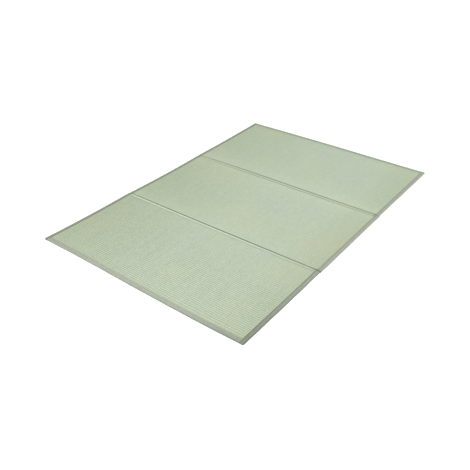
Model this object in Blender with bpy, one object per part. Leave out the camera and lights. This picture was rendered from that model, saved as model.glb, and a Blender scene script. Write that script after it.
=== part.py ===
"""A folding rush mat of three boards, lying open on the floor.

Each board is a thin pad faced with woven rush. A narrow rush strip, sewn in between two boards, lets the
mat fold. Cloth tape is wrapped round the outer edges: a long-side tape runs the whole length of its board
and of the strip sewn to its far end, and the end tapes fit between the long-side ones. X runs along the
folds, Y along the mat from its near end, Z is up. The origin is on the floor under the middle of the mat.
"""

import math
from collections import namedtuple

import bmesh
import bpy

# Driving sizes, in metres
WIDTH = 1.400
LENGTH = 2.100
PAD_HEIGHT = 0.010
TAPE_HEIGHT = 0.0097
# How far the tape reaches in over the pad: along the sides, and across the ends
SIDE_STRIP = 0.023
END_STRIPS = {"near": 0.026, "far": 0.029}
TAPE_THICKNESS = 0.0010
TAPE_ROUND = 0.0030
STRIP_HEIGHT = 0.0094
GAP = 0.0003
FOLD_GAP = 0.0005
# Within this distance of an edge, a pad keeps its true distances; the rest of it stretches to fit
TRUE_EDGE = 0.050
# The mat's four corners are rounded in plan, and that reaches this far in from the long sides
CORNER_ROUNDS = {
    ("near", "left"): 0.010,
    ("near", "right"): 0.005,
    ("far", "left"): 0.005,
    ("far", "right"): 0.010,
}
CORNER_REACH = 0.020
# From the middle of the boards' plain rectangle to the middle of the uneven outline
MIDDLE_X = -0.0081
MIDDLE_Y = 0.0034

# The pad's rise from under its tape to its full height, and the same below
RISE_TOP = 0.012
RISE_BOTTOM = 0.004
# The underside is drawn up along a sewn fold
FOLD_LIFT = 0.0006
FOLD_LIFT_REACH = 0.003

# How far each board's long sides stand out past WIDTH / 2, at its near end, middle and far end
Side = namedtuple("Side", "near_end middle far_end")
SIDES = {
    "near": {"left": Side(0.0092, 0.0010, 0.0048), "right": Side(-0.0026, -0.0020, -0.0020)},
    "middle": {"left": Side(0.0027, -0.0038, 0.0033), "right": Side(0.0009, 0.0008, 0.0009)},
    "far": {"left": Side(0.0033, 0.0072, 0.0172), "right": Side(-0.0020, -0.0006, 0.0004)},
}

# Lines that cross the mat, as points (share of the width from the left, distance from the near end)
Line = namedtuple("Line", "points")
NEAR_END = Line(((0.0, 0.0002), (0.25, 0.0030), (0.65, -0.0012), (1.0, 0.0071)))
NEAR_FOLD = Line(((0.0, 0.6710), (0.3, 0.6745), (0.6, 0.6805), (1.0, 0.6900)))
FAR_FOLD = Line(((0.0, 1.3600), (0.25, 1.3790), (0.6, 1.3840), (0.8, 1.3875), (1.0, 1.3932)))
FAR_END = Line(((0.0, 2.0942), (0.33, 2.1051), (0.62, 2.1069), (1.0, 2.1080)))

# The groove on each side of a fold strip: how deep its edges roll down and over what width
Groove = namedtuple("Groove", "depth reach")
Fold = namedtuple("Fold", "board_before line strip_width near_groove far_groove")
FOLDS = {
    "near": Fold("near", NEAR_FOLD, 0.0205, Groove(0.0018, 0.0040), Groove(0.0062, 0.0040)),
    "far": Fold("middle", FAR_FOLD, 0.0232, Groove(0.0026, 0.0050), Groove(0.0040, 0.0070)),
}

INNER_STATIONS = (0.2, 0.35, 0.5, 0.65, 0.8)
ROUND_STEPS = 2

RUSH = ("rush", (0.53, 0.60, 0.46), 0.75)
TAPE = ("edge_tape", (0.36, 0.39, 0.31), 0.85)


def through(points, at):
    """The height at a share of the width of the smooth line through a few points."""
    total = 0.0
    for i, (share, value) in enumerate(points):
        weight = 1.0
        for j, (other, _) in enumerate(points):
            if i != j:
                weight *= (at - other) / (share - other)
        total += weight * value
    return total


def line_y(line, share):
    return through(line.points, share) - LENGTH / 2


def side_x(board, side, along):
    """Where a board's long side lies in X, at a share of the way from its near end."""
    row = SIDES[board][side]
    out = through(((0.0, row.near_end), (0.5, row.middle), (1.0, row.far_end)), along)
    return WIDTH / 2 + out if side == "right" else -WIDTH / 2 - out


def board_ends(board, share):
    """Y of a board's two ends at a share of the width: mat ends, or the strip and line of a fold."""
    if board == "near":
        return line_y(NEAR_END, share), line_y(NEAR_FOLD, share) - FOLDS["near"].strip_width
    if board == "middle":
        return line_y(NEAR_FOLD, share) + FOLD_GAP, line_y(FAR_FOLD, share) - FOLDS["far"].strip_width
    return line_y(FAR_FOLD, share) + FOLD_GAP, line_y(FAR_END, share)


def stretched(start, end, distance, nominal):
    """A place between start and end, true to its distance from the nearer one within TRUE_EDGE."""
    share = (distance - TRUE_EDGE) / (nominal - 2 * TRUE_EDGE)
    return start + distance + (end - start - nominal) * min(1.0, max(0.0, share))


def board_length(board):
    start, end = board_ends(board, 0.5)
    return end - start


def rounded(distance, reach, depth):
    """How far a rolled edge lies below the flat, at a distance from its end."""
    left = min(1.0, max(0.0, 1 - distance / reach))
    return depth * (1 - math.sqrt(1 - left ** 2))


def corner_inset(board, side, from_side, from_near):
    """How far a rounded corner of the mat draws a point in from the long side."""
    if board == "middle":
        return 0.0
    from_end = from_near if board == "near" else board_length(board) - from_near
    radius = CORNER_ROUNDS[board, side]
    return rounded(from_end, radius, radius) * max(0.0, 1 - from_side / CORNER_REACH)


def board_point(board, from_left, from_near):
    """The plan position of a point of a board, from its distances from the left side and the near end."""
    start, end = board_ends(board, from_left / WIDTH)
    y = stretched(start, end, from_near, board_length(board))
    along = (y - start) / (end - start)
    x = stretched(side_x(board, "left", along), side_x(board, "right", along), from_left, WIDTH)
    if from_left < WIDTH / 2:
        return x + corner_inset(board, "left", from_left, from_near), y
    return x - corner_inset(board, "right", WIDTH - from_left, from_near), y


def eased(share):
    share = min(1.0, max(0.0, share))
    return share * share * (3 - 2 * share)


COVER = TAPE_THICKNESS + GAP
COVERED_TOP = TAPE_HEIGHT - COVER
COVERED_ROUND = TAPE_ROUND - COVER


def taped_top(distance, strip):
    """The pad's upper face, at a distance from an outer edge that the tape covers."""
    rise = eased((distance - strip - GAP) / RISE_TOP)
    flat = COVERED_TOP + (PAD_HEIGHT - COVERED_TOP) * rise
    return flat - rounded(distance - COVER, COVERED_ROUND, COVERED_ROUND)


def taped_bottom(distance, strip):
    fall = eased((distance - strip - GAP) / RISE_BOTTOM)
    return COVER * (1 - fall) + rounded(distance - COVER, COVERED_ROUND, COVERED_ROUND)


def fold_bottom(distance):
    return rounded(distance, FOLD_LIFT_REACH, FOLD_LIFT)


def taped_stations(strip):
    """Distances from a taped edge at which the pad's section changes."""
    edge = [COVER, COVER + 0.3 * COVERED_ROUND, COVER + COVERED_ROUND]
    edge += sorted(set(CORNER_ROUNDS.values()))
    rise = [strip + GAP + RISE_TOP * k for k in (0.0, 0.5, 1.0)]
    return edge + rise


def fold_stations(groove):
    return [groove.reach * k for k in (0.0, 0.12, 0.45, 1.0)]


def placed(x, y, z):
    return x - MIDDLE_X, y - MIDDLE_Y, z


def slab(name, us, vs, place, top, bottom, material):
    """A closed solid over a grid of stations, with its own upper and lower height at each crossing."""
    bm = bmesh.new()
    bmesh.ops.create_grid(bm, x_segments=len(us) - 1, y_segments=len(vs) - 1, size=0.5)
    lower = {}
    for vert in bm.verts:
        i = round((vert.co.x + 0.5) * (len(us) - 1))
        j = round((vert.co.y + 0.5) * (len(vs) - 1))
        lower[vert] = (us[i], vs[j])
    grid = list(lower)
    made = bmesh.ops.extrude_face_region(bm, geom=bm.faces[:])["geom"]
    upper = [v for v in made if isinstance(v, bmesh.types.BMVert)]
    where = {(round(v.co.x, 6), round(v.co.y, 6)): lower[v] for v in grid}
    stations = {v: where[(round(v.co.x, 6), round(v.co.y, 6))] for v in upper}
    for vert, (u, v) in lower.items():
        vert.co = placed(*place(u, v), bottom(u, v))
    for vert, (u, v) in stations.items():
        vert.co = placed(*place(u, v), top(u, v))
    return finished(name, bm, material)


def swept(name, section, stations, place, material):
    """A closed solid of one section, (distance in from the edge, height), carried along stations."""
    bm = bmesh.new()
    rings = []
    for station in stations:
        rings.append([bm.verts.new(placed(*place(inward, station), height)) for inward, height in section])
    for first, second in zip(rings, rings[1:]):
        for k in range(len(section)):
            after = (k + 1) % len(section)
            bm.faces.new((first[k], first[after], second[after], second[k]))
    bm.faces.new(rings[0])
    bm.faces.new(rings[-1])
    return finished(name, bm, material)


def finished(name, bm, material):
    bmesh.ops.recalc_face_normals(bm, faces=bm.faces[:])
    mesh = bpy.data.meshes.new(name)
    bm.to_mesh(mesh)
    bm.free()
    mesh.shade_smooth()
    mesh.set_sharp_from_angle(angle=math.radians(35))
    piece = bpy.data.objects.new(name, mesh)
    piece.data.materials.append(plain_material(name, material))
    bpy.context.scene.collection.objects.link(piece)
    return piece


def plain_material(name, finish):
    slot, colour, roughness = finish
    material = bpy.data.materials.new(f"{slot}_{name}")
    material.use_nodes = True
    shader = material.node_tree.nodes["Principled BSDF"]
    shader.inputs["Base Color"].default_value = (*colour, 1.0)
    shader.inputs["Roughness"].default_value = roughness
    shader.inputs["Metallic"].default_value = 0.0
    return material


def tape_section(strip):
    """The tape's section: down the outer face, in under the pad, and back inside its own thickness."""

    def path(inset):
        radius = TAPE_ROUND - inset
        points = [(strip, TAPE_HEIGHT - inset)]
        for k in range(ROUND_STEPS + 1):
            turn = math.pi / 2 * k / ROUND_STEPS
            points.append((
                TAPE_ROUND - radius * math.sin(turn),
                TAPE_HEIGHT - TAPE_ROUND + radius * math.cos(turn),
            ))
        for k in range(ROUND_STEPS + 1):
            turn = math.pi / 2 * k / ROUND_STEPS
            points.append((
                TAPE_ROUND - radius * math.cos(turn),
                TAPE_ROUND - radius * math.sin(turn),
            ))
        return points + [(strip, inset)]

    return path(0.0) + path(TAPE_THICKNESS)[::-1]


def end_grooves(name):
    """The groove at a board's near and far end, or None where the end is taped."""
    near, far = FOLDS["near"], FOLDS["far"]
    grooves = {
        "near": (None, near.near_groove),
        "middle": (near.far_groove, far.near_groove),
        "far": (far.far_groove, None),
    }
    return grooves[name]


def across_stations():
    """Distances from the left side at which a board's section changes."""
    edge = taped_stations(SIDE_STRIP)
    return edge + [WIDTH * k for k in INNER_STATIONS] + [WIDTH - d for d in edge[::-1]]


def along_stations(name):
    """Distances from a board's near end at which its section changes."""
    long = board_length(name)
    near, far = [
        taped_stations(END_STRIPS[name]) if groove is None else fold_stations(groove)
        for groove in end_grooves(name)
    ]
    return near + [long * k for k in INNER_STATIONS] + [long - d for d in far[::-1]]


def board(name):
    """A padded board: taped on its long sides, and at each end either taped or rolled down to a fold."""
    long = board_length(name)
    near_groove, far_groove = end_grooves(name)

    def end_top(groove, distance):
        if groove is None:
            return taped_top(distance, END_STRIPS[name])
        return PAD_HEIGHT - rounded(distance, groove.reach, groove.depth)

    def end_bottom(groove, distance):
        return taped_bottom(distance, END_STRIPS[name]) if groove is None else fold_bottom(distance)

    def top(u, v):
        ends = min(end_top(near_groove, v), end_top(far_groove, long - v))
        return min(taped_top(min(u, WIDTH - u), SIDE_STRIP), ends)

    def bottom(u, v):
        ends = max(end_bottom(near_groove, v), end_bottom(far_groove, long - v))
        return max(taped_bottom(min(u, WIDTH - u), SIDE_STRIP), ends)

    def place(u, v):
        return board_point(name, u, v)

    return slab(f"{name}_board", across_stations(), along_stations(name), place, top, bottom, RUSH)


def fold_strip(name):
    """The narrow strip between two boards, rolled down to the groove on each side and taped at its ends."""
    fold = FOLDS[name]
    wide = fold.strip_width - FOLD_GAP
    near, far = fold.near_groove, fold.far_groove
    across = fold_stations(near) + [wide / 2] + [wide - d for d in fold_stations(far)[::-1]]
    left = side_x(fold.board_before, "left", 1.0)
    right = side_x(fold.board_before, "right", 1.0)

    def place(u, v):
        near_side = line_y(fold.line, u / WIDTH) - fold.strip_width + FOLD_GAP
        return stretched(left, right, u, WIDTH), near_side + v

    def top(u, v):
        down = rounded(v, near.reach, near.depth) + rounded(wide - v, far.reach, far.depth)
        return min(STRIP_HEIGHT - down, taped_top(min(u, WIDTH - u), SIDE_STRIP))

    def bottom(u, v):
        return max(taped_bottom(min(u, WIDTH - u), SIDE_STRIP), fold_bottom(min(v, wide - v)))

    return slab(f"{name}_fold_strip", across_stations(), across, place, top, bottom, RUSH)


def side_tape(name, side):
    """The tape along one long side of a board and of the fold strip sewn to its far end."""
    long = board_length(name)

    def place(inward, from_near):
        start, end = board_ends(name, (inward if side == "left" else WIDTH - inward) / WIDTH)
        past = max(0.0, from_near - long)
        y = stretched(start, end, from_near - past, long)
        edge = side_x(name, side, (y - start) / (end - start))
        inward += corner_inset(name, side, inward, from_near)
        return edge + (inward if side == "left" else -inward), y + past

    strip = sum(fold.strip_width for fold in FOLDS.values() if fold.board_before == name)
    stations = along_stations(name) + [long + strip]
    if name == "near":
        stations = [0.0] + stations
    return swept(f"{name}_{side}_tape", tape_section(SIDE_STRIP), stations, place, TAPE)


def end_tape(name):
    """The tape along an end of the mat, between the two long-side tapes."""

    def place(inward, from_left):
        long = board_length(name)
        return board_point(name, from_left, inward if name == "near" else long - inward)

    clear = SIDE_STRIP + GAP
    stations = [d for d in across_stations() if clear <= d <= WIDTH - clear]
    return swept(f"{name}_end_tape", tape_section(END_STRIPS[name]), stations, place, TAPE)


def main():
    for old in list(bpy.data.objects):
        bpy.data.objects.remove(old)
    for fold in FOLDS:
        fold_strip(fold)
    for name in SIDES:
        board(name)
        for side in ("left", "right"):
            side_tape(name, side)
    for name in ("near", "far"):
        end_tape(name)


main()
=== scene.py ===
"""A folding rush mat of three boards, lying open on a pale floor under soft studio light."""

import math
from collections import namedtuple

import bpy
import numpy as np
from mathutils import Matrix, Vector


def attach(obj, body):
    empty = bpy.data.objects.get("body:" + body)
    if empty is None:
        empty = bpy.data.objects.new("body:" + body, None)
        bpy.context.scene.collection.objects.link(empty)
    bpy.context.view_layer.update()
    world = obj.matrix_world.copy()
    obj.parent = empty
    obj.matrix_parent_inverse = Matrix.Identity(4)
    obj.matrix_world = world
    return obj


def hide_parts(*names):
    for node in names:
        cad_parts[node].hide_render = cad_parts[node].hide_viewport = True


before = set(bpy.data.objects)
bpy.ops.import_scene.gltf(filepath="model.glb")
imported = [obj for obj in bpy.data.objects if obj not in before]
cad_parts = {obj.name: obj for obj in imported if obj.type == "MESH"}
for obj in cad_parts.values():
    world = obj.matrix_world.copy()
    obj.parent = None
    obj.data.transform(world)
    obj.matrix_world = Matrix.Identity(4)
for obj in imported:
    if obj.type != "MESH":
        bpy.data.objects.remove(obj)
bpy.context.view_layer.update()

# Sizes, in metres, as in the CAD
WIDTH = 1.400
LENGTH = 2.100
PAD_HEIGHT = 0.010
TAPE_HEIGHT = 0.0097
TAPE_THICKNESS = 0.0009
SIDE_STRIP = 0.023
END_STRIPS = {"near": 0.026, "far": 0.029}
STRIP_HEIGHT = 0.0094
# The gap on either side of a fold strip, and the one between two tapes
FOLD_GAP = 0.0005
SEAM_GAP = 0.0003
# The part of a tape's width that the height of the edge takes up
# Distances from an edge are true up to this one, and the outline's unevenness is taken up beyond it
TRUE_EDGE = 0.050
# How far the mat's corners are rounded along the long sides, and how far in that reaches
CORNER_ROUNDS = {
    ("near", "left"): 0.010,
    ("near", "right"): 0.005,
    ("far", "left"): 0.005,
    ("far", "right"): 0.010,
}
CORNER_REACH = 0.020
# The middle of the uneven outline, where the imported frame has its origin
MIDDLE_X = -0.0081
MIDDLE_Y = 0.0034

# How far the long sides of each board stand out beyond the nominal width, at its ends and halfway
Side = namedtuple("Side", "near_end middle far_end")
SIDES = {
    "near": {"left": Side(0.0092, 0.0010, 0.0048), "right": Side(-0.0026, -0.0020, -0.0020)},
    "middle": {"left": Side(0.0027, -0.0038, 0.0033), "right": Side(0.0009, 0.0008, 0.0009)},
    "far": {"left": Side(0.0033, 0.0072, 0.0172), "right": Side(-0.0020, -0.0006, 0.0004)},
}
# Lines that cross the mat: share of the width from the left, distance from the near end
NEAR_END = ((0.0, 0.0002), (0.25, 0.0030), (0.65, -0.0012), (1.0, 0.0071))
NEAR_FOLD = ((0.0, 0.6710), (0.3, 0.6745), (0.6, 0.6805), (1.0, 0.6900))
FAR_FOLD = ((0.0, 1.3600), (0.25, 1.3790), (0.6, 1.3840), (0.8, 1.3875), (1.0, 1.3932))
FAR_END = ((0.0, 2.0942), (0.33, 2.1051), (0.62, 2.1069), (1.0, 2.1080))

Groove = namedtuple("Groove", "depth reach")
# The near groove lies between a board and the strip sewn to it. At the far one the strip's edge and the
# next board's are rolled each in its own way
Fold = namedtuple("Fold", "board_before line strip_width near_groove far_groove strip_edge")
FOLDS = {
    "near": Fold(
        "near", NEAR_FOLD, 0.0205, Groove(0.0030, 0.0040), Groove(0.0076, 0.0042), Groove(0.0060, 0.0030)),
    "far": Fold(
        "middle", FAR_FOLD, 0.0232, Groove(0.0032, 0.0050), Groove(0.0050, 0.0075), Groove(0.0050, 0.0070)),
}

# The weave and the sewing
RIB_PITCH = 0.0131
RIB_DEPTH = 0.0012
RIB_STEPS = 8
# The power that gives a rib a round arch beside a narrow valley
RIB_ARCH = 0.8
# How much the ribs' depth varies, as a share of it, and how far the pad sinks between its high places
RIB_WEAR = 0.25
PAD_SINK = 0.00035
STALK_PITCH = 0.0017
# The course of the near board's ribs at its near end and at its far one, which is straighter than its
# ends: share of the width from the left, distance off a square line
RIB_LINES = (
    ((0.0, 0.0012), (0.5, 0.0015), (1.0, 0.0074)),
    ((0.0, 0.0005), (0.5, 0.0013), (1.0, 0.0110)),
)
# Distances from the near end of a board and from its far one: up to the first the ribs follow that end,
# and past the second they sway in full, on the near board along their own course
RIB_BENDS = ((0.036, 0.066), (0.050, 0.170))
RIB_SWAY = 0.0015
# A slanting wave: its size, how fast it turns along x and y in radians per metre, and its start
Wave = namedtuple("Wave", "size kx ky phase")
# The sway of the ribs, and the slow unevenness of the pad
SWAY_WAVES = (
    Wave(0.35, 71.0, 23.0, 0.9), Wave(0.25, -97.0, 41.0, 2.7), Wave(0.20, 53.0, -87.0, 5.0),
    Wave(0.20, 131.0, 59.0, 1.7),
)
SWELL_WAVES = (
    Wave(0.30, 7.1, 3.3, 0.4), Wave(0.25, -4.2, 8.7, 2.1), Wave(0.20, 13.0, -6.1, 4.0),
    Wave(0.15, 5.5, 17.0, 1.2), Wave(0.10, 23.0, 11.0, 5.3),
)
# The width of a pad's columns of faces, the least distance between an end's own rows and those of the
# ribs, and how many rows of each end its underside keeps
COLUMN = 0.0135
ROW_CLEARANCE = 0.0008
END_ROWS = 6
# Rows over a rolled edge, as shares of its reach: on a board, and on a fold strip
GROOVE_STEPS = (0.0, 0.04, 0.15, 0.35, 0.65, 1.0)
STRIP_STEPS = (0.0, 0.05, 0.2, 0.45, 0.75, 1.0)
STRIP_FLAT_STEPS = 9

# The pad's rise beside a side tape and beside an end tape, how far before the hem it starts, and the
# power that shapes it
SIDE_RISE = 0.006
END_RISE = 0.010
RISE_START = 0.001
RISE_POWER = 0.7
# The pad under a tape: its height, how far inside the tape's outer face it lies, how its edge is rounded
# above and below, and how soon its underside comes down to the floor beside the tape
COVERED_TOP = TAPE_HEIGHT - 0.0019
COVER = 0.0013
EDGE_ROUND = 0.0022
UNDER_ROUND = 0.0017
UNDER_FALL = 0.004
# Rows and columns beside a tape: within the pad's rounded edge, under the rest of the tape's strip as
# shares of it, and over the rise as shares of that
EDGE_STEPS = (0.0, 0.0005, 0.0012, EDGE_ROUND)
HIDDEN_STEPS = (0.4, 0.75)
RISE_STEPS = (0.05, 0.25, 0.5, 0.8, 1.1)
# The distance from a hem at which the ribs are at their full depth
RIBS_SHOWN = 0.005
# How the underside is drawn in at the folds, and how far a fold strip stands above its flat height
UNDER_FOLD = Groove(0.0006, 0.003)
STRIP_CROWN = 0.0003
# How far a pad's end is drawn in under the folded end of a side tape, how far along the pad that
# reaches, and how far before the tape's hem it fades out
PAD_TUCK = 0.0016
PAD_TUCK_REACH = 0.0080
PAD_TUCK_FADE = 0.0040
# How far a pad's covered corner drops, and how far from the mat's edges that reaches
CORNER_DROP = 0.0030
CORNER_DROP_REACH = 0.012

STITCH_PITCH = 0.0050
STITCH_LENGTH = 0.0036
STITCH_RADIUS = 0.00032
STITCH_FROM_HEM = 0.0030
STITCH_FROM_END = 0.004
# A stitch has six sides, sinks by a share of its radius, and is thinner at its ends: place along it from
# -1 to 1, share of its radius
STITCH_SIDES = 6
STITCH_SINK = 0.9
STITCH_RINGS = ((-1.0, 0.15), (-0.62, 0.85), (0.0, 1.0), (0.62, 0.85), (1.0, 0.15))
# The place of a fold strip's stitches, as a share of its rolled edge's reach
STITCH_ON_ROLL = 0.8

# How much painted shade darkens a sewn line or an edge, and how far that reaches
Shade = namedtuple("Shade", "depth reach")
NO_SHADE = Shade(0.0, 1.0)
# The same for the two lines of each fold, with their strength as points (share of the width, factor)
FoldShade = namedtuple("FoldShade", "depth reach strength")
FOLD_SHADES = {
    "near": (
        FoldShade(0.58, 0.0020, ((0.0, 1.20), (0.5, 1.00), (1.0, 0.90))),
        FoldShade(0.98, 0.0045, ((0.0, 0.66), (0.55, 0.97), (1.0, 0.70))),
    ),
    "far": (
        FoldShade(0.64, 0.0024, ((0.0, 0.55), (0.5, 1.20), (1.0, 0.45))),
        FoldShade(0.60, 0.0080, ((0.0, 0.68), (0.45, 0.98), (1.0, 0.76))),
    ),
}
# Painted shade beside the tapes' hems, and at the ends of the fold strips
HEM_SHADE = Shade(0.60, 0.0022)
SHARP_HEM = Shade(1.00, 0.0020)
SHARP_TAPE_HEM = Shade(1.00, 0.0011)
SOFT_HEM = Shade(0.36, 0.0022)
END_HEM = Shade(0.12, 0.0022)
STRIP_END_SHADE = Shade(0.45, 0.0080)
# The painted shade where a fold meets the right-hand tape: depth, reach along the mat, reach across it
FOLD_SHADE_SPOTS = {"near": (0.0, 1.0, 1.0), "middle": (0.24, 0.012, 0.019), "far": (0.12, 0.012, 0.020)}
# How much painted light lightens the rush at the start of each board, on the left and on the right, and at
# its end, each with its reach; and on the fold strips, with the share of it that is lost towards the right
PAINTED_LIGHT_STARTS = {"near": (0.05, 0.005), "middle": (0.10, 0.01), "far": (0.10, 0.15)}
PAINTED_LIGHT_START_REACH = 0.080
PAINTED_LIGHT_ENDS = {"near": 0.01, "middle": 0.07, "far": 0.01}
PAINTED_LIGHT_END_REACH = 0.150
PAINTED_LIGHT_STRIPS = {"near": 0.36, "far": 0.17}
PAINTED_LIGHT_STRIP_LOSS = 0.90
# How much of the shade of a fold's far line falls on its strip
STRIP_SHARE = 0.55
# How far the rush is tinted darker and yellower along the left side of each board, and along the right one,
# and how far in from either side that reaches
STRAW_SHARES = {"near": (1.12, 0.82), "middle": (1.20, 1.00), "far": (0.88, 0.81)}
STRAW_REACHES = (0.66, 0.28)
# The same along the tape of each end of the mat
STRAW_END = Shade(0.22, 0.030)

# Each tape's lightness, painted light and shade that make lit and shaded copies of one cloth; its painted
# shade all over, and more of it on the folded edge at either end, painting a highlight there where it is
# negative; and the painted shade towards its two ends
Tape = namedtuple("Tape", "level base edge_start edge_end start end")
TAPES = {
    "near_end": Tape(0.99, 0.0, 0.0, 0.30, Shade(0.12, 0.26), Shade(0.22, 0.26)),
    "far_end": Tape(0.92, 0.0, 0.40, 0.40, NO_SHADE, NO_SHADE),
    "near_left": Tape(0.69, 0.0, 0.55, 0.55, Shade(0.20, 0.050), NO_SHADE),
    "near_right": Tape(0.775, 0.0, 0.47, 0.27, Shade(0.30, 0.33), Shade(0.60, 0.0040)),
    "middle_left": Tape(0.69, 0.0, 0.45, 0.45, NO_SHADE, NO_SHADE),
    "middle_right": Tape(0.885, 0.08, 0.09, -0.08, Shade(0.55, 0.0055), Shade(0.25, 0.0090)),
    "far_left": Tape(0.69, 0.0, 0.37, 0.37, NO_SHADE, NO_SHADE),
    "far_right": Tape(0.885, 0.08, -0.08, -0.08, NO_SHADE, NO_SHADE),
}


def through(points, at):
    """The height at a share of the width of the smooth line through a few points."""
    at = np.asarray(at, dtype=float)
    total = np.zeros_like(at)
    for i, (share, value) in enumerate(points):
        weight = np.ones_like(at)
        for j, (other, _) in enumerate(points):
            if i != j:
                weight = weight * (at - other) / (share - other)
        total = total + weight * value
    return total


def line_y(line, share):
    return through(line, share) - LENGTH / 2


def side_x(board, side, along):
    row = SIDES[board][side]
    out = through(((0.0, row.near_end), (0.5, row.middle), (1.0, row.far_end)), along)
    return WIDTH / 2 + out if side == "right" else -WIDTH / 2 - out


def board_ends(board, share):
    if board == "near":
        return line_y(NEAR_END, share), line_y(NEAR_FOLD, share) - FOLDS["near"].strip_width
    if board == "middle":
        return line_y(NEAR_FOLD, share) + FOLD_GAP, line_y(FAR_FOLD, share) - FOLDS["far"].strip_width
    return line_y(FAR_FOLD, share) + FOLD_GAP, line_y(FAR_END, share)


def stretched(start, end, distance, nominal):
    """A place between start and end, true to its distance from the nearer one within TRUE_EDGE."""
    share = (distance - TRUE_EDGE) / (nominal - 2 * TRUE_EDGE)
    return start + distance + (end - start - nominal) * np.clip(share, 0.0, 1.0)


def board_length(board):
    start, end = board_ends(board, 0.5)
    return float(end - start)


def rounded(distance, reach, depth):
    """How far a rolled edge lies below the flat, at a distance from its end."""
    left = np.clip(1 - distance / reach, 0.0, 1.0)
    return depth * (1 - np.sqrt(1 - left ** 2))


def corner_inset(board, side, from_side, from_near):
    """How far a rounded corner of the mat draws a point in from the long side."""
    if board == "middle":
        return np.zeros_like(from_side)
    from_end = from_near if board == "near" else board_length(board) - from_near
    radius = CORNER_ROUNDS[board, side]
    return rounded(from_end, radius, radius) * np.clip(1 - from_side / CORNER_REACH, 0.0, 1.0)


def pad_tuck(from_left, from_end):
    """How far a pad's end at a fold is drawn in where a side tape covers it."""
    covered = eased((SIDE_STRIP - np.minimum(from_left, WIDTH - from_left)) / PAD_TUCK_FADE)
    return PAD_TUCK * covered * np.clip(1 - from_end / PAD_TUCK_REACH, 0.0, 1.0)


def board_point(board, from_left, from_near):
    start, end = board_ends(board, from_left / WIDTH)
    long = board_length(board)
    y = stretched(start, end, from_near, long)
    inside = 1.0
    for (first, last), distance in zip(RIB_BENDS, (from_near, long - from_near)):
        inside = inside * eased((distance - first) / (last - first))
    if board == "near":
        at_start, at_end = (through(line, from_left / WIDTH) for line in RIB_LINES)
        course = from_near - LENGTH / 2 + at_start + (at_end - at_start) * from_near / long
        y = y + (course - y) * inside
    y = y + RIB_SWAY * inside * waved(SWAY_WAVES, from_left, from_near)
    if board != "near":
        y = y + pad_tuck(from_left, from_near)
    along = (y - start) / (end - start)
    x = stretched(side_x(board, "left", along), side_x(board, "right", along), from_left, WIDTH)
    left = corner_inset(board, "left", from_left, from_near)
    right = corner_inset(board, "right", WIDTH - from_left, from_near)
    return x + np.where(from_left < WIDTH / 2, left, -right) - MIDDLE_X, y - MIDDLE_Y


def eased(share):
    share = np.clip(share, 0.0, 1.0)
    return share * share * (3 - 2 * share)


def waved(waves, x, y):
    """The sum of a few slanting waves."""
    return sum(wave.size * np.sin(wave.kx * x + wave.ky * y + wave.phase) for wave in waves)


def swell(x, y):
    """The slow unevenness of the pad, from -1 to 1."""
    return waved(SWELL_WAVES, x, y)


def rib(v):
    """Depth below the rib's crown, from 0 to 1: round arches that meet in narrow valleys."""
    return 1 - np.abs(np.cos(math.pi * v / RIB_PITCH)) ** RIB_ARCH


# Meshes

def add_mesh(name, points, faces, material, smooth_below=50, weave=None, tones=None):
    mesh = bpy.data.meshes.new(name)
    mesh.from_pydata([tuple(p) for p in points], [], faces)
    mesh.validate()
    mesh.shade_smooth()
    mesh.set_sharp_from_angle(angle=math.radians(smooth_below))
    if weave is not None:
        layer = mesh.uv_layers.new(name="weave")
        corners = np.empty(len(mesh.loops), dtype=np.int32)
        mesh.loops.foreach_get("vertex_index", corners)
        layer.data.foreach_set("uv", np.asarray(weave, dtype=np.float32)[corners].ravel())
    for tone, values in (tones or {}).items():
        attribute = mesh.attributes.new(tone, "FLOAT", "POINT")
        attribute.data.foreach_set("value", np.asarray(values, dtype=np.float32).ravel())
    mesh.materials.append(material)
    piece = bpy.data.objects.new(name, mesh)
    bpy.context.scene.collection.objects.link(piece)
    return piece


def slab(name, us, vs, low_rows, place, top, bottom, toning, material):
    """A closed solid: a fine upper grid over us and vs, and a lower one that keeps only some rows."""
    us = np.asarray(us)
    vs = np.asarray(vs)
    columns, rows, low = len(us), len(vs), len(low_rows)
    u, v = np.meshgrid(us, vs)
    x, y = place(u, v)
    upper = np.stack([x, y, top(u, v, x, y)], axis=-1).reshape(-1, 3)
    ul, vl = np.meshgrid(us, vs[low_rows])
    xl, yl = place(ul, vl)
    lower = np.stack([xl, yl, bottom(ul, vl)], axis=-1).reshape(-1, 3)
    weave = np.concatenate([np.stack(pair, axis=-1).reshape(-1, 2) for pair in ((u, v), (ul, vl))])
    upper_tones, lower_tones = toning(u, v), toning(ul, vl)
    tones = {
        tone: np.concatenate([values.ravel(), lower_tones[tone].ravel()])
        for tone, values in upper_tones.items()
    }
    base = columns * rows

    faces = []
    for j in range(rows - 1):
        for i in range(columns - 1):
            k = j * columns + i
            faces.append((k, k + 1, k + columns + 1, k + columns))
    for j in range(low - 1):
        for i in range(columns - 1):
            k = base + j * columns + i
            faces.append((k, k + columns, k + columns + 1, k + 1))
    for i in range(columns - 1):
        faces.append((base + i, base + i + 1, i + 1, i))
        far = (rows - 1) * columns
        far_low = base + (low - 1) * columns
        faces.append((far + i, far + i + 1, far_low + i + 1, far_low + i))
    for j in range(low - 1):
        for i, turned in ((0, False), (columns - 1, True)):
            wall = [row * columns + i for row in range(low_rows[j], low_rows[j + 1] + 1)]
            wall += [base + (j + 1) * columns + i, base + j * columns + i]
            faces.append(tuple(wall[::-1] if turned else wall))
    return add_mesh(name, np.concatenate([upper, lower]), faces, material, weave=weave, tones=tones)


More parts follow.
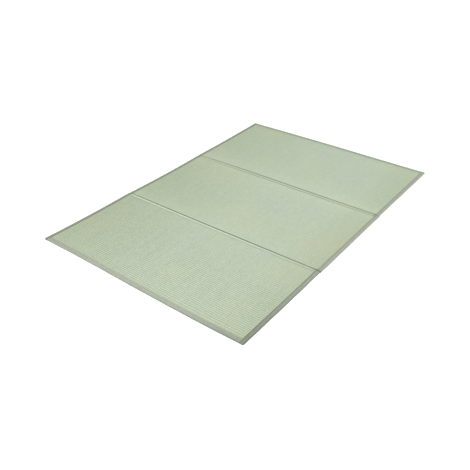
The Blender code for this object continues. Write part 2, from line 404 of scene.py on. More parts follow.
def swept(name, rings, material, weave, tones):
    """A closed solid through rings of the same number of points, each a band that doubles back on itself."""
    count = len(rings[0])
    points = np.concatenate(rings)
    faces = []
    for j in range(len(rings) - 1):
        for k in range(count):
            after = (k + 1) % count
            faces.append((j * count + k, (j + 1) * count + k, (j + 1) * count + after, j * count + after))
    # Each end is closed by a narrow strip between the section's outer half and its inner one
    last = len(points) - count
    for k in range(count // 2):
        cap = [k, k + 1, count - k - 1, (count - k) % count]
        cap = list(dict.fromkeys(cap))
        faces.append(tuple(cap))
        faces.append(tuple(last + corner for corner in cap[::-1]))
    return add_mesh(name, points, faces, material, smooth_below=60, weave=weave, tones=tones)


def stitch_row(name, starts, ends, material):
    """Short threads, each an arched capsule whose two ends dip into the cloth."""
    starts = np.asarray(starts)
    ends = np.asarray(ends)
    middle = (starts + ends) / 2
    half = (ends - starts) / 2
    length = np.linalg.norm(half, axis=1, keepdims=True)
    forward = half / length
    across = np.cross(forward, (0.0, 0.0, 1.0))
    across /= np.linalg.norm(across, axis=1, keepdims=True)
    up = np.cross(across, forward)
    points = []
    for along, thick in STITCH_RINGS:
        arch = (1 - along ** 2) * STITCH_RADIUS - STITCH_RADIUS * STITCH_SINK
        for k in range(STITCH_SIDES):
            turn = 2 * math.pi * k / STITCH_SIDES
            points.append(
                middle + half * along + across * (math.cos(turn) * thick * STITCH_RADIUS)
                + up * (math.sin(turn) * thick * STITCH_RADIUS + arch)
            )
    points = np.stack(points, axis=1)
    per = STITCH_SIDES * len(STITCH_RINGS)
    one = []
    for start in range(0, per - STITCH_SIDES, STITCH_SIDES):
        for k in range(STITCH_SIDES):
            after = (k + 1) % STITCH_SIDES
            one.append((start + k, start + after, start + STITCH_SIDES + after, start + STITCH_SIDES + k))
    one.append(tuple(range(STITCH_SIDES - 1, -1, -1)))
    one.append(tuple(range(per - STITCH_SIDES, per)))
    faces = [tuple(index + n * per for index in face) for n in range(len(middle)) for face in one]
    return add_mesh(name, points.reshape(-1, 3), faces, material)


# Materials

# The rush: light and dark stalks, straw, the painted shade in the gaps between stalks, the painted light and
# the painted shade that the mesh mixes in, and the tint that makes it darker and yellower towards the sides
RUSH_LIGHT = (0.417, 0.474, 0.375)
RUSH_DARK = (0.301, 0.355, 0.272)
RUSH_STRAW = (0.434, 0.443, 0.314)
RUSH_GAPS = (0.10, 0.12, 0.06)
RUSH_PAINTED_LIGHT = (0.62, 0.70, 0.55)
RUSH_PAINTED_SHADE = (0.030, 0.036, 0.018)
STRAW_TINT = (0.884, 0.890, 0.820)
# The tape's cloth at full lightness, the painted shade in the gaps between its ribs, and the painted shade
# that the mesh mixes in
TAPE_LIGHT = (0.325, 0.353, 0.283)
TAPE_DARK = (0.235, 0.260, 0.200)
TAPE_GAPS = (0.07, 0.08, 0.05)
TAPE_PAINTED_SHADE = (0.035, 0.040, 0.025)
TAPE_RIB_PITCH = 0.0011
TAPE_YARN_PITCH = 0.00075
# How light the dark places of a thread are, as a share of its colour
THREAD_DARK = 0.65
def new_material(name):
    material = bpy.data.materials.new(name)
    material.use_nodes = True
    tree = material.node_tree
    return material, tree, tree.nodes["Principled BSDF"]


def math_node(tree, operation, first, second=None, third=None, clamp=False):
    node = tree.nodes.new("ShaderNodeMath")
    node.operation = operation
    node.use_clamp = clamp
    for socket, value in zip(node.inputs, (first, second, third)):
        if value is None:
            continue
        if isinstance(value, (int, float)):
            socket.default_value = value
        else:
            tree.links.new(value, socket)
    return node.outputs[0]


def mixed(tree, factor, first, second):
    node = tree.nodes.new("ShaderNodeMix")
    node.data_type = "RGBA"
    for index, value in ((0, factor), (6, first), (7, second)):
        if isinstance(value, (int, float)):
            node.inputs[index].default_value = value
        elif isinstance(value, tuple):
            node.inputs[index].default_value = (*value, 1.0)
        else:
            tree.links.new(value, node.inputs[index])
    return node.outputs[2]


def noise(tree, vector, scale, detail=2.0, stretch=(1.0, 1.0, 1.0)):
    mapping = tree.nodes.new("ShaderNodeMapping")
    mapping.inputs["Scale"].default_value = stretch
    tree.links.new(vector, mapping.inputs["Vector"])
    node = tree.nodes.new("ShaderNodeTexNoise")
    node.inputs["Scale"].default_value = scale
    node.inputs["Detail"].default_value = detail
    tree.links.new(mapping.outputs[0], node.inputs["Vector"])
    return node.outputs["Fac"]


def cell_random(tree, first, second):
    joined = tree.nodes.new("ShaderNodeCombineXYZ")
    tree.links.new(first, joined.inputs[0])
    if second is not None:
        tree.links.new(second, joined.inputs[1])
    node = tree.nodes.new("ShaderNodeTexWhiteNoise")
    node.noise_dimensions = "2D"
    tree.links.new(joined.outputs[0], node.inputs["Vector"])
    return node.outputs["Value"]


def weave_coordinates(tree):
    uv = tree.nodes.new("ShaderNodeUVMap")
    uv.uv_map = "weave"
    split = tree.nodes.new("ShaderNodeSeparateXYZ")
    tree.links.new(uv.outputs[0], split.inputs[0])
    return uv.outputs[0], split.outputs[0], split.outputs[1]


def tone_of(tree, name):
    node = tree.nodes.new("ShaderNodeAttribute")
    node.attribute_name = name
    return node.outputs["Fac"]


def tinted(tree, colour, factor, tint):
    """The colour multiplied by a tint, as far as the factor says."""
    node = tree.nodes.new("ShaderNodeMix")
    node.data_type = "RGBA"
    node.blend_type = "MULTIPLY"
    tree.links.new(factor, node.inputs[0])
    tree.links.new(colour, node.inputs[6])
    node.inputs[7].default_value = (*tint, 1.0)
    return node.outputs[2]


def shaded(tree, colour, dark):
    """The colour, darkened by painted shade where the mesh says so: where a sewn line draws the surface in,
    at folds, hems and edges.
    """
    return mixed(tree, tone_of(tree, "shade"), colour, dark)


def plus(tree, base, value, amount, clamp=False):
    return math_node(tree, "MULTIPLY_ADD", value, amount, base, clamp=clamp)


def ramp(tree, value, start, slope):
    """0 up to a start, and from there a rise to 1."""
    return math_node(tree, "MULTIPLY", math_node(tree, "SUBTRACT", value, start), slope, clamp=True)


def off_middle(tree, count):
    """How far a place is from the middle of its rib, stalk or yarn: 0.5 is the gap to the next one."""
    return math_node(tree, "ABSOLUTE", math_node(tree, "SUBTRACT", math_node(tree, "FRACT", count), 0.5))


def add_bump(tree, shader, height, strength, distance):
    bump = tree.nodes.new("ShaderNodeBump")
    bump.inputs["Strength"].default_value = strength
    bump.inputs["Distance"].default_value = distance
    tree.links.new(height, bump.inputs["Height"])
    tree.links.new(bump.outputs[0], shader.inputs["Normal"])


def rush_material(name):
    """Woven rush: stalks across the ribs, each with its own tone, and slow drifts towards straw."""
    material, tree, shader = new_material(name)
    uv, u, v = weave_coordinates(tree)
    place = tree.nodes.new("ShaderNodeTexCoord").outputs["Object"]

    stalk = math_node(tree, "DIVIDE", u, STALK_PITCH)
    row = math_node(tree, "ADD", math_node(tree, "DIVIDE", v, RIB_PITCH), 0.5)
    row_index = math_node(tree, "FLOOR", row)
    # Neighbouring ribs show the stalks half a pitch apart
    shifted = math_node(tree, "ADD", stalk, math_node(tree, "MULTIPLY", row_index, 0.5))
    stalk_index = math_node(tree, "FLOOR", shifted)
    per_stalk = cell_random(tree, stalk_index, None)
    per_piece = cell_random(tree, stalk_index, row_index)
    streak = noise(tree, uv, 1.0, detail=3.0, stretch=(240.0, 2.2, 1.0))
    mottle = noise(tree, place, 40.0)
    tone = plus(tree, math_node(tree, "MULTIPLY", per_piece, 0.50), per_stalk, amount=0.25)
    tone = plus(tree, tone, mottle, amount=0.50)
    tone = plus(tree, math_node(tree, "SUBTRACT", tone, 0.43), streak, amount=0.60, clamp=True)
    colour = mixed(tree, tone, RUSH_DARK, RUSH_LIGHT)

    drift = ramp(tree, noise(tree, place, 2.3, detail=3.0), start=0.46, slope=2.6)
    colour = mixed(tree, math_node(tree, "MULTIPLY", drift, 0.55), colour, RUSH_STRAW)

    # The gaps between the ribs, and between one stalk and the next, lie in their own shade
    valley = ramp(tree, off_middle(tree, row), start=0.30, slope=5.0)
    stalk_side = off_middle(tree, shifted)
    seam = ramp(tree, stalk_side, start=0.40, slope=6.0)
    valley_dark = math_node(tree, "MULTIPLY_ADD", per_piece, 0.40, 0.38)
    gaps = plus(tree, math_node(tree, "MULTIPLY", valley, valley_dark), seam, amount=0.42, clamp=True)
    colour = mixed(tree, gaps, colour, RUSH_GAPS)
    # The sides are tinted a little darker and yellower
    colour = tinted(tree, colour, tone_of(tree, "straw"), STRAW_TINT)
    # Painted light at the starts and ends of the boards and along the fold strips, then painted shade at
    # sewn lines, folds, hems and edges
    colour = mixed(tree, tone_of(tree, "pale"), colour, RUSH_PAINTED_LIGHT)
    colour = shaded(tree, colour, RUSH_PAINTED_SHADE)
    tree.links.new(colour, shader.inputs["Base Color"])

    # Height of the weave: round stalks, dipping at each valley, with fine lengthwise grain
    squared = math_node(tree, "POWER", math_node(tree, "MULTIPLY", stalk_side, 1.9), 2.0)
    height = math_node(tree, "SQRT", math_node(tree, "SUBTRACT", 1.0, squared))
    grain = noise(tree, uv, 1.0, detail=2.0, stretch=(2600.0, 60.0, 1.0))
    height = plus(tree, height, grain, amount=0.12)
    height = plus(tree, height, valley, amount=-0.6)
    add_bump(tree, shader, height, strength=0.85, distance=0.00050)

    rough = math_node(tree, "MULTIPLY_ADD", per_stalk, 0.16, 0.48)
    tree.links.new(rough, shader.inputs["Roughness"])
    shader.inputs["Specular IOR Level"].default_value = 0.30
    return material


def tape_material(level):
    """Grey-green ribbed cloth: fine cross ribs, each with its own tone, over a slow mottle."""
    material, tree, shader = new_material(f"lit_ribbed_tape_{round(1000 * level)}")
    # The level paints light and shade: each tape gets a lit or a shaded copy of one cloth
    light, dark = (tuple(level * part for part in colour) for colour in (TAPE_LIGHT, TAPE_DARK))
    uv, u, v = weave_coordinates(tree)
    rib_count = math_node(tree, "DIVIDE", v, TAPE_RIB_PITCH)
    yarn_count = math_node(tree, "DIVIDE", u, TAPE_YARN_PITCH)
    rib_index = math_node(tree, "FLOOR", rib_count)
    per_rib = cell_random(tree, rib_index, None)
    per_knot = cell_random(tree, rib_index, math_node(tree, "FLOOR", yarn_count))
    mottle = noise(tree, uv, 1.0, detail=3.0, stretch=(90.0, 34.0, 1.0))
    tone = plus(tree, math_node(tree, "MULTIPLY", per_knot, 0.30), per_rib, amount=0.30)
    tone = plus(tree, math_node(tree, "SUBTRACT", tone, 0.50), mottle, amount=1.4, clamp=True)
    colour = mixed(tree, tone, dark, light)
    rib_side = off_middle(tree, rib_count)
    # The gaps between the ribs lie in painted shade
    gap = ramp(tree, rib_side, start=0.38, slope=5.0)
    colour = mixed(tree, math_node(tree, "MULTIPLY", gap, 0.50), colour, TAPE_GAPS)
    colour = shaded(tree, colour, TAPE_PAINTED_SHADE)
    tree.links.new(colour, shader.inputs["Base Color"])

    arch = math_node(tree, "MULTIPLY", math_node(tree, "POWER", rib_side, 2.0), 3.6)
    height = plus(tree, math_node(tree, "SUBTRACT", 1.0, arch), off_middle(tree, yarn_count), amount=-0.5)
    add_bump(tree, shader, height, strength=0.6, distance=0.00025)
    shader.inputs["Roughness"].default_value = 0.85
    shader.inputs["Specular IOR Level"].default_value = 0.22
    shader.inputs["Sheen Weight"].default_value = 0.12
    return material


def thread_material(name, colour):
    material, tree, shader = new_material(name)
    place = tree.nodes.new("ShaderNodeTexCoord").outputs["Object"]
    tone = noise(tree, place, 900.0, detail=1.0)
    dark = tuple(THREAD_DARK * part for part in colour)
    tree.links.new(mixed(tree, tone, dark, colour), shader.inputs["Base Color"])
    shader.inputs["Roughness"].default_value = 0.7
    return material


RUSH = rush_material("rush_weave")
LIT_TAPE_CLOTHS = {level: tape_material(level) for level in sorted({tape.level for tape in TAPES.values()})}
TAPE_THREAD = thread_material("tape_thread", (0.22, 0.25, 0.18))
RUSH_THREAD = thread_material("rush_thread", (0.30, 0.36, 0.22))


# Camera and studio

# The camera that fits the photo, with its places measured from the middle of the nominal outline
IMAGE_PIXELS = 470.0
FOCAL_PIXELS = 587.879
SHIFT_PIXELS = 10.0
SENSOR_WIDTH = 36.0
CAMERA_PLACE = (1.8113, -2.6168, 1.8855)
CAMERA_TARGET = (0.07997, -0.38250, 0.0)
CAMERA_REACH = 50.0
FLOOR_HALF = 45.0
FLOOR_LEVEL = -0.0003
FLOOR_TONES = ((0.92, 0.92, 0.92), (0.94, 0.94, 0.94))
Light = namedtuple("Light", "name place size power")
LIGHTS = (
    Light("key_light", (3.0, -7.0, 16.5), 6.0, 3250.0),
    Light("right_fill", (9.0, 1.0, 3.4), 4.0, 420.0),
)
SKY_STRENGTH = 0.55


def framed(place):
    return Vector((place[0] - MIDDLE_X, place[1] - MIDDLE_Y, place[2]))


def add_aimed(name, data, place, target):
    """A camera or lamp at a place, turned towards a target."""
    item = bpy.data.objects.new(name, data)
    item.location = place
    item.rotation_euler = (target - place).to_track_quat("-Z", "Y").to_euler()
    bpy.context.scene.collection.objects.link(item)
    return item


def camera_and_studio():
    data = bpy.data.cameras.new("camera")
    data.sensor_width = SENSOR_WIDTH
    data.lens = FOCAL_PIXELS * SENSOR_WIDTH / IMAGE_PIXELS
    data.shift_x = SHIFT_PIXELS / IMAGE_PIXELS
    data.clip_end = CAMERA_REACH
    scene = bpy.context.scene
    scene.camera = add_aimed("camera", data, framed(CAMERA_PLACE), framed(CAMERA_TARGET))

    material, tree, shader = new_material("pale_floor")
    place = tree.nodes.new("ShaderNodeTexCoord").outputs["Object"]
    tone = noise(tree, place, 0.8)
    tree.links.new(mixed(tree, tone, *FLOOR_TONES), shader.inputs["Base Color"])
    shader.inputs["Roughness"].default_value = 0.9
    shader.inputs["Specular IOR Level"].default_value = 0.1
    signs = ((-1, -1), (1, -1), (1, 1), (-1, 1))
    corners = [(FLOOR_HALF * x, FLOOR_HALF * y, FLOOR_LEVEL) for x, y in signs]
    add_mesh("floor", corners, [(0, 1, 2, 3)], material)

    for light in LIGHTS:
        data = bpy.data.lights.new(light.name, "AREA")
        data.shape = "DISK"
        data.size = light.size
        data.energy = light.power
        add_aimed(light.name, data, Vector(light.place), Vector((0.0, 0.0, 0.0)))

    world = bpy.data.worlds.new("studio")
    world.use_nodes = True
    sky = world.node_tree.nodes["Background"]
    sky.inputs["Color"].default_value = (1.0, 1.0, 1.0, 1.0)
    sky.inputs["Strength"].default_value = SKY_STRENGTH
    scene.world = world
    scene.view_settings.view_transform = "Standard"


# Boards and fold strips
def end_grooves(name):
    near, far = FOLDS["near"], FOLDS["far"]
    return {
        "near": (None, near.near_groove),
        "middle": (near.far_groove, far.near_groove),
        "far": (far.far_groove, None),
    }[name]


def left_heavy(u):
    """A share that is full at the left side of the mat and small at its right side."""
    return 1 - PAINTED_LIGHT_STRIP_LOSS * (u / WIDTH) ** 2


def falling(distance, shade):
    return shade.depth * np.exp(-(np.maximum(distance, 0.0) / shade.reach) ** 2)


def fold_dark(shade, distance, u):
    """The painted shade beside one line of a fold, at a distance from it and a place across the mat."""
    return through(shade.strength, u / WIDTH) * falling(distance, shade)


def side_tint(name, u):
    """How far a board's rush is tinted darker and yellower towards its long sides."""
    sides = zip(STRAW_SHARES[name], (u, WIDTH - u), STRAW_REACHES)
    return sum(share * np.clip(1 - distance / reach, 0.0, 1.0) for share, distance, reach in sides)


def taped_top(distance, strip, reach):
    """The pad's upper face, at a distance from an outer edge that the tape covers."""
    rise = eased((distance - strip + RISE_START) / reach) ** RISE_POWER
    flat = COVERED_TOP + (PAD_HEIGHT - COVERED_TOP) * rise
    return flat - rounded(distance - COVER, EDGE_ROUND, EDGE_ROUND)


def corner_share(distance):
    """How near an outer edge a place is, from 1 at the edge to 0 at the reach of a covered corner's dip."""
    return np.clip(1 - distance / CORNER_DROP_REACH, 0.0, 1.0)


def taped_bottom(distance, strip):
    """The pad's underside, at a distance from an outer edge that the tape covers."""
    fall = eased((distance - strip - SEAM_GAP) / UNDER_FALL)
    return COVER * (1 - fall) + rounded(distance - COVER, UNDER_ROUND, UNDER_ROUND)


def covered_stations(strip):
    """Distances from an outer edge at which the pad has rows or columns under the tape."""
    edge = [COVER + step for step in EDGE_STEPS]
    return edge + [share * strip for share in HIDDEN_STEPS] + [strip - RISE_START]


def edge_stations(strip, reach):
    return covered_stations(strip) + [strip + reach * share for share in RISE_STEPS]


def across_stations():
    edge = edge_stations(SIDE_STRIP, SIDE_RISE)
    inner = edge[-1]
    count = round((WIDTH - 2 * inner) / COLUMN)
    middle = np.linspace(inner, WIDTH - inner, count + 1)[1:-1]
    return np.array(edge + list(middle) + [WIDTH - d for d in edge[::-1]])


def along_stations(name):
    """Rows of a board: those of each end's own shape, and RIB_STEPS to each rib."""
    long = board_length(name)
    ends = []
    for groove in end_grooves(name):
        if groove is None:
            ends.append(covered_stations(END_STRIPS[name]))
        else:
            ends.append([groove.reach * k for k in GROOVE_STEPS])
    first, last = ends[0][-1] + ROW_CLEARANCE, long - (ends[1][-1] + ROW_CLEARANCE)
    ribs = [v for v in np.arange(0.0, long, RIB_PITCH / RIB_STEPS) if first < v < last]
    return np.array(ends[0] + ribs + [long - d for d in ends[1][::-1]])


def board(name):
    long = board_length(name)
    near_groove, far_groove = end_grooves(name)

    def end_top(groove, distance):
        if groove is None:
            return taped_top(distance, END_STRIPS[name], END_RISE)
        return PAD_HEIGHT - rounded(distance, groove.reach, groove.depth)

    def end_bottom(groove, distance):
        if groove is None:
            return taped_bottom(distance, END_STRIPS[name])
        return rounded(distance, UNDER_FOLD.reach, UNDER_FOLD.depth)

    def top(u, v, x, y):
        side = np.minimum(u, WIDTH - u)
        form = np.minimum(end_top(near_groove, v), end_top(far_groove, long - v))
        form = np.minimum(form, taped_top(side, SIDE_STRIP, SIDE_RISE))
        shown = eased((side - SIDE_STRIP) / RIBS_SHOWN)
        for groove, distance in ((near_groove, v), (far_groove, long - v)):
            if groove is None:
                form = form - CORNER_DROP * corner_share(side) * corner_share(distance)
                shown = shown * eased((distance - END_STRIPS[name]) / RIBS_SHOWN)
            else:
                shown = shown * eased(distance / groove.reach)
        # The ribs wear down in quicker waves than those of the pad
        worn = 1 + RIB_WEAR * swell(3.1 * x + 0.7, 2.3 * y - 0.4)
        return form - shown * (RIB_DEPTH * worn * rib(v) + PAD_SINK * (1 - swell(x, y)))

    def bottom(u, v):
        side = np.minimum(u, WIDTH - u)
        ends = np.maximum(end_bottom(near_groove, v), end_bottom(far_groove, long - v))
        return np.maximum(taped_bottom(side, SIDE_STRIP), ends)

    end_shades = {
        "near": (None, FOLD_SHADES["near"][0]),
        "middle": (FOLD_SHADES["near"][1], FOLD_SHADES["far"][0]),
        "far": (FOLD_SHADES["far"][1], None),
    }[name]
    right_hem = SHARP_HEM if name == "near" else HEM_SHADE

    # Painted shade at the hems, along the fold lines and where a fold meets the right-hand tape; painted
    # light at the board's start and end; and the darker, yellower tint towards the sides
    def toning(u, v):
        dark = np.maximum(falling(u - SIDE_STRIP, HEM_SHADE), falling(WIDTH - u - SIDE_STRIP, right_hem))
        straw = side_tint(name, u)
        for shade, distance in zip(end_shades, (v, long - v)):
            if shade is None:
                dark = np.maximum(dark, falling(distance - END_STRIPS[name], END_HEM))
                straw = straw + falling(distance - END_STRIPS[name], STRAW_END)
            else:
                dark = np.maximum(dark, fold_dark(shade, distance, u))
        # Painted shade where the fold meets the right-hand tape
        depth, reach_along, reach_across = FOLD_SHADE_SPOTS[name]
        from_tape = WIDTH - u - SIDE_STRIP
        dark = dark + depth * np.exp(-(v / reach_along) ** 2 - (from_tape / reach_across) ** 2)
        # Painted light at the start and at the end of the board
        left, right = PAINTED_LIGHT_STARTS[name]
        pale = (left + (right - left) * (u / WIDTH) ** 2) * np.exp(-v / PAINTED_LIGHT_START_REACH)
        pale = pale + PAINTED_LIGHT_ENDS[name] * np.exp((v - long) / PAINTED_LIGHT_END_REACH)
        return {"shade": np.minimum(dark, 1.0), "straw": straw, "pale": pale}

    # The underside keeps the rows of both ends, and one row for every second rib
    vs = along_stations(name)
    rows = len(vs)
    low_rows = [
        *range(END_ROWS),
        *range(END_ROWS + RIB_STEPS, rows - END_ROWS - 2, 2 * RIB_STEPS),
        *range(rows - END_ROWS, rows),
    ]
    piece = slab(
        f"{name}_rush_board", across_stations(), vs, low_rows,
        lambda u, v: board_point(name, u, v), top, bottom, toning, RUSH)
    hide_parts(f"{name}_board")
    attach(piece, "root")

def fold_strip(name):
    fold = FOLDS[name]
    wide = fold.strip_width - FOLD_GAP
    near, far = fold.near_groove, fold.strip_edge
    left = side_x(fold.board_before, "left", 1.0)
    right = side_x(fold.board_before, "right", 1.0)
    across = [near.reach * k for k in STRIP_STEPS]
    across += list(np.linspace(near.reach, wide - far.reach, STRIP_FLAT_STEPS)[1:-1])
    across += [wide - far.reach * k for k in STRIP_STEPS[::-1]]

    def place(u, v):
        near_side = line_y(fold.line, u / WIDTH) - fold.strip_width + FOLD_GAP
        y = near_side + v - pad_tuck(u, wide - v)
        return stretched(left, right, u, WIDTH) - MIDDLE_X, y - MIDDLE_Y

    def top(u, v, x, y):
        down = rounded(v, near.reach, near.depth) + rounded(wide - v, far.reach, far.depth)
        shown = eased(v / near.reach) * eased((wide - v) / far.reach)
        form = STRIP_HEIGHT + STRIP_CROWN - down - 0.5 * RIB_DEPTH * rib(v - wide / 2) * shown
        return np.minimum(form, taped_top(np.minimum(u, WIDTH - u), SIDE_STRIP, SIDE_RISE))

    def bottom(u, v):
        drawn = rounded(np.minimum(v, wide - v), UNDER_FOLD.reach, UNDER_FOLD.depth)
        return np.maximum(taped_bottom(np.minimum(u, WIDTH - u), SIDE_STRIP), drawn)

    # Painted shade along the strip's two lines and at its ends beside the tapes, and painted light all along
    # it
    def toning(u, v):
        before, after = FOLD_SHADES[name]
        dark = np.maximum(fold_dark(before, v, u), STRIP_SHARE * fold_dark(after, wide - v, u))
        dark = np.maximum(dark, falling(np.minimum(u, WIDTH - u) - SIDE_STRIP, STRIP_END_SHADE))
        straw = side_tint(fold.board_before, u)
        return {"shade": dark, "straw": straw, "pale": PAINTED_LIGHT_STRIPS[name] * left_heavy(u)}

    piece = slab(
        f"{name}_fold_rush_strip", across_stations(), across, list(range(len(across))),
        place, top, bottom, toning, RUSH)
    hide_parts(f"{name}_fold_strip")
    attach(piece, "root")

    clear = SIDE_STRIP + STITCH_FROM_END
    starts, ends = [], []
    for v in (near.reach * STITCH_ON_ROLL, wide - far.reach * STITCH_ON_ROLL):
        for u in np.arange(clear, WIDTH - clear, STITCH_PITCH):
            for where, out in ((u, starts), (u + STITCH_LENGTH, ends)):
                spot = np.array(where), np.array(v)
                x, y = place(*spot)
                out.append((float(x), float(y), float(top(*spot, x, y))))
    threads = stitch_row(f"{name}_fold_stitches", starts, ends, RUSH_THREAD)
    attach(threads, "root")


# The edge tape

# How steeply the top of a side tape and of an end tape falls from its hem to the mat's edge
SIDE_LEAN = 0.03
END_LEAN = 0.02
# Points of the profile from the hem over the flat top
FLAT_POINTS = 8
# A tape's rows at each end, and the first and last distance of those between
END_STATIONS = (0.0, 0.0002, 0.0006, 0.0012, 0.0020, 0.0030)
FIRST_STATION = 0.0050
LAST_STATION = 0.0040
# Above this height a point is on the tape's top
TOP_ABOVE = 0.4 * TAPE_HEIGHT
# How far each stitch draws the hem in and down, and how far from the hem that reaches
STITCH_PULL_IN = 0.00025
STITCH_PULL_DOWN = 0.00022
STITCH_PULL_REACH = 0.008
# How the tape's outer edge strays, and how far in from the edge that reaches
EDGE_WAVES = (Wave(0.00035, 9.0, 1.0, 0.0), Wave(0.0002, 31.0, 0.0, 1.3))
EDGE_WAVE_REACH = 0.020
# The painted shade of the folded edge fades from the first distance, over the second
EDGE_SHADE_START = 0.001
EDGE_SHADE_FADE = 0.007
# The folded end of a tape: how far it reaches along the tape, and how low its outer and its inner face
# come down. Below, it is tucked in, from a distance from the mat's edge and in full further in
FOLDED_REACH = 0.0030
FOLDED_OUTER = 0.0010
FOLDED_INNER = 0.0004
FOLDED_TUCK = 0.0012
TUCK_START = 0.0010
TUCK_FADE = 0.0040
# How much painted shade darkens the folded ends: at the mat's corners, and at a board's near and far end
CORNER_DARK = 0.15
NEAR_END_DARK = 0.75
FAR_END_DARK = 0.60


def tape_profile(strip, lean):
    """The tape's outer face, (distance in from the edge, height), from its hem on top to the one below."""
    upper = [
        (strip, -0.0006), (strip - 0.0004, -0.0003), (strip - 0.0018, -0.0002), (strip - 0.0050, -0.0001),
        (0.64 * strip, 0.0001), (0.46 * strip, 0.0001), (0.32 * strip, -0.0001), (0.0060, -0.0004),
        (0.0034, -0.0008), (0.0016, -0.0016), (0.0004, -0.0030),
    ]
    upper = [(inward, TAPE_HEIGHT + rise - lean * (strip - inward)) for inward, rise in upper]
    lower = [(0.0, 0.45 * TAPE_HEIGHT), (0.0005, 0.0026), (0.0018, 0.0010), (0.0040, 0.0002), (0.0080, 0.0)]
    return np.array(upper + lower + [(0.64 * strip, 0.0), (strip - 0.0004, 0.0), (strip, 0.0003)])


def unit(rows):
    return rows / np.linalg.norm(rows, axis=1, keepdims=True)


def tape_section(strip, lean):
    """The closed section: the outer face, and the inner one a thickness inside it."""
    outer = tape_profile(strip, lean)
    ahead = np.roll(outer, -1, axis=0) - outer
    behind = outer - np.roll(outer, 1, axis=0)
    ahead[-1] = behind[-1]
    behind[0] = ahead[0]
    run = unit(unit(ahead) + unit(behind))
    inner = outer + TAPE_THICKNESS * np.stack([-run[:, 1], run[:, 0]], axis=1)
    inner[:, 1] = np.clip(inner[:, 1], TAPE_THICKNESS, None)
    return np.concatenate([outer, inner[1:-1][::-1]])


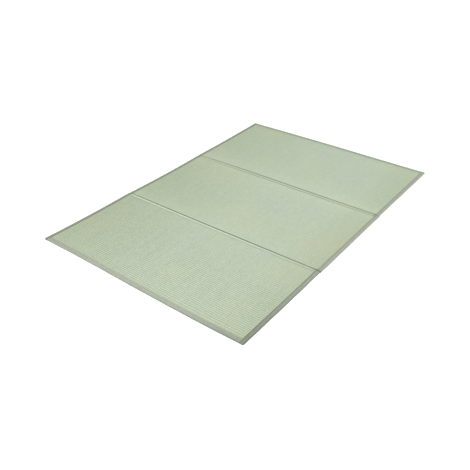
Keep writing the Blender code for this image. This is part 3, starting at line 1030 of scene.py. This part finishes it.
def tape(name, strip, lean, long, place, folded_ends, look, hem_shade):
    """A tape along stations 0 to long. Its hem is drawn down a little at each stitch.

    folded_ends says how much painted shade darkens each end, if its upper layer is folded down over it, or 0
    for a cut end.
    """
    section = tape_section(strip, lean)
    from_edge = section[:, 0]
    run = np.concatenate([[0.0], np.cumsum(np.linalg.norm(np.diff(section, axis=0), axis=1))])
    between = np.arange(FIRST_STATION, long - LAST_STATION, STITCH_PITCH / 2)
    stations = np.concatenate([END_STATIONS, between, [long - at for at in END_STATIONS[::-1]]])
    on_top = section[:, 1] > TOP_ABOVE
    is_inner = np.arange(len(section)) >= len(tape_profile(strip, lean))
    folded_low = np.where(on_top & is_inner, FOLDED_INNER, FOLDED_OUTER)
    tucked = np.where(on_top, 0.0, np.clip((from_edge - TUCK_START) / TUCK_FADE, 0.0, 1.0))
    hem_side = np.clip((from_edge - strip + STITCH_PULL_REACH) / STITCH_PULL_REACH, 0.0, 1.0) * on_top
    # Painted shade along the hem
    hem_dark = np.where(on_top, falling(strip - from_edge, hem_shade), 0.0)
    on_edge = 1 - eased((from_edge - EDGE_SHADE_START) / EDGE_SHADE_FADE)
    rings, weave, shade = [], [], []
    for at in stations:
        pulled = 0.5 + 0.5 * math.cos(2 * math.pi * at / STITCH_PITCH)
        inward = from_edge - STITCH_PULL_IN * pulled * hem_side
        inward = inward + waved(EDGE_WAVES, at, len(name)) * np.clip(1 - inward / EDGE_WAVE_REACH, 0.0, 1.0)
        height = section[:, 1] - STITCH_PULL_DOWN * pulled * hem_side
        along = np.full_like(inward, at)
        # Painted shade towards the tape's ends, and in the folded ends
        end_dark = falling(at, look.start) + falling(long - at, look.end)
        for folded, distance, forward in zip(folded_ends, (at, long - at), (1, -1)):
            if folded and distance < FOLDED_REACH:
                bulge = math.sqrt(1 - (1 - distance / FOLDED_REACH) ** 2)
                height = np.where(height > folded_low, folded_low + (height - folded_low) * bulge, height)
                along = at + FOLDED_TUCK * (1 - bulge) * forward * tucked
                end_dark = max(end_dark, folded * (1 - bulge))
        x, y = place(inward, along)
        rings.append(np.stack([x, y, height], axis=-1))
        weave += [(float(a), float(at)) for a in run]
        # Painted shade on the folded outer edge, a painted highlight where the share is negative
        edge_dark = look.base + (look.edge_start + (look.edge_end - look.edge_start) * at / long) * on_edge
        shade.append(1 - (1 - np.maximum(hem_dark, edge_dark)) * (1 - end_dark))
    piece = swept(name, rings, LIT_TAPE_CLOTHS[look.level], weave, {"shade": np.concatenate(shade)})

    hem = strip - STITCH_FROM_HEM
    profile = tape_profile(strip, lean)[:FLAT_POINTS]
    level = float(np.interp(hem, profile[::-1, 0], profile[::-1, 1]))
    starts, ends = [], []
    for at in np.arange(STITCH_FROM_END, long - STITCH_FROM_END - STITCH_LENGTH, STITCH_PITCH):
        for where, out in ((at, starts), (at + STITCH_LENGTH, ends)):
            x, y = place(np.array(hem), np.array(where))
            out.append((float(x), float(y), level))
    threads = stitch_row(f"{name}_stitches", starts, ends, TAPE_THREAD)
    for item in (piece, threads):
        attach(item, "root")
    return piece


def side_tape(name, side):
    """The tape along one long side of a board and of the fold strip sewn to its far end."""
    long = board_length(name)
    strip = sum(fold.strip_width for fold in FOLDS.values() if fold.board_before == name)

    def place(inward, from_near):
        start, end = board_ends(name, (inward if side == "left" else WIDTH - inward) / WIDTH)
        past = np.maximum(0.0, from_near - long)
        y = stretched(start, end, from_near - past, long)
        edge = side_x(name, side, (y - start) / (end - start))
        inward = inward + corner_inset(name, side, inward, from_near)
        return edge + (inward if side == "left" else -inward) - MIDDLE_X, y + past - MIDDLE_Y

    folded_ends = (
        CORNER_DARK if name == "near" else NEAR_END_DARK,
        CORNER_DARK if name == "far" else FAR_END_DARK,
    )
    hem_shade = SHARP_TAPE_HEM if (name, side) == ("near", "right") else SOFT_HEM
    piece = tape(
        f"{name}_{side}_edge_tape", SIDE_STRIP, SIDE_LEAN, long + strip, place,
        folded_ends, TAPES[f"{name}_{side}"], hem_shade)
    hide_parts(f"{name}_{side}_tape")


def end_tape(name):
    long = board_length(name)
    clear = SIDE_STRIP + SEAM_GAP

    def place(inward, along):
        from_near = inward if name == "near" else long - inward
        return board_point(name, clear + along, from_near)

    piece = tape(
        f"{name}_end_edge_tape", END_STRIPS[name], END_LEAN, WIDTH - 2 * clear, place,
        (0.0, 0.0), TAPES[f"{name}_end"], SOFT_HEM)
    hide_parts(f"{name}_end_tape")


def main():
    camera_and_studio()
    for name in SIDES:
        board(name)
        side_tape(name, "left")
        side_tape(name, "right")
    for name in FOLDS:
        fold_strip(name)
    for name in ("near", "far"):
        end_tape(name)


main()
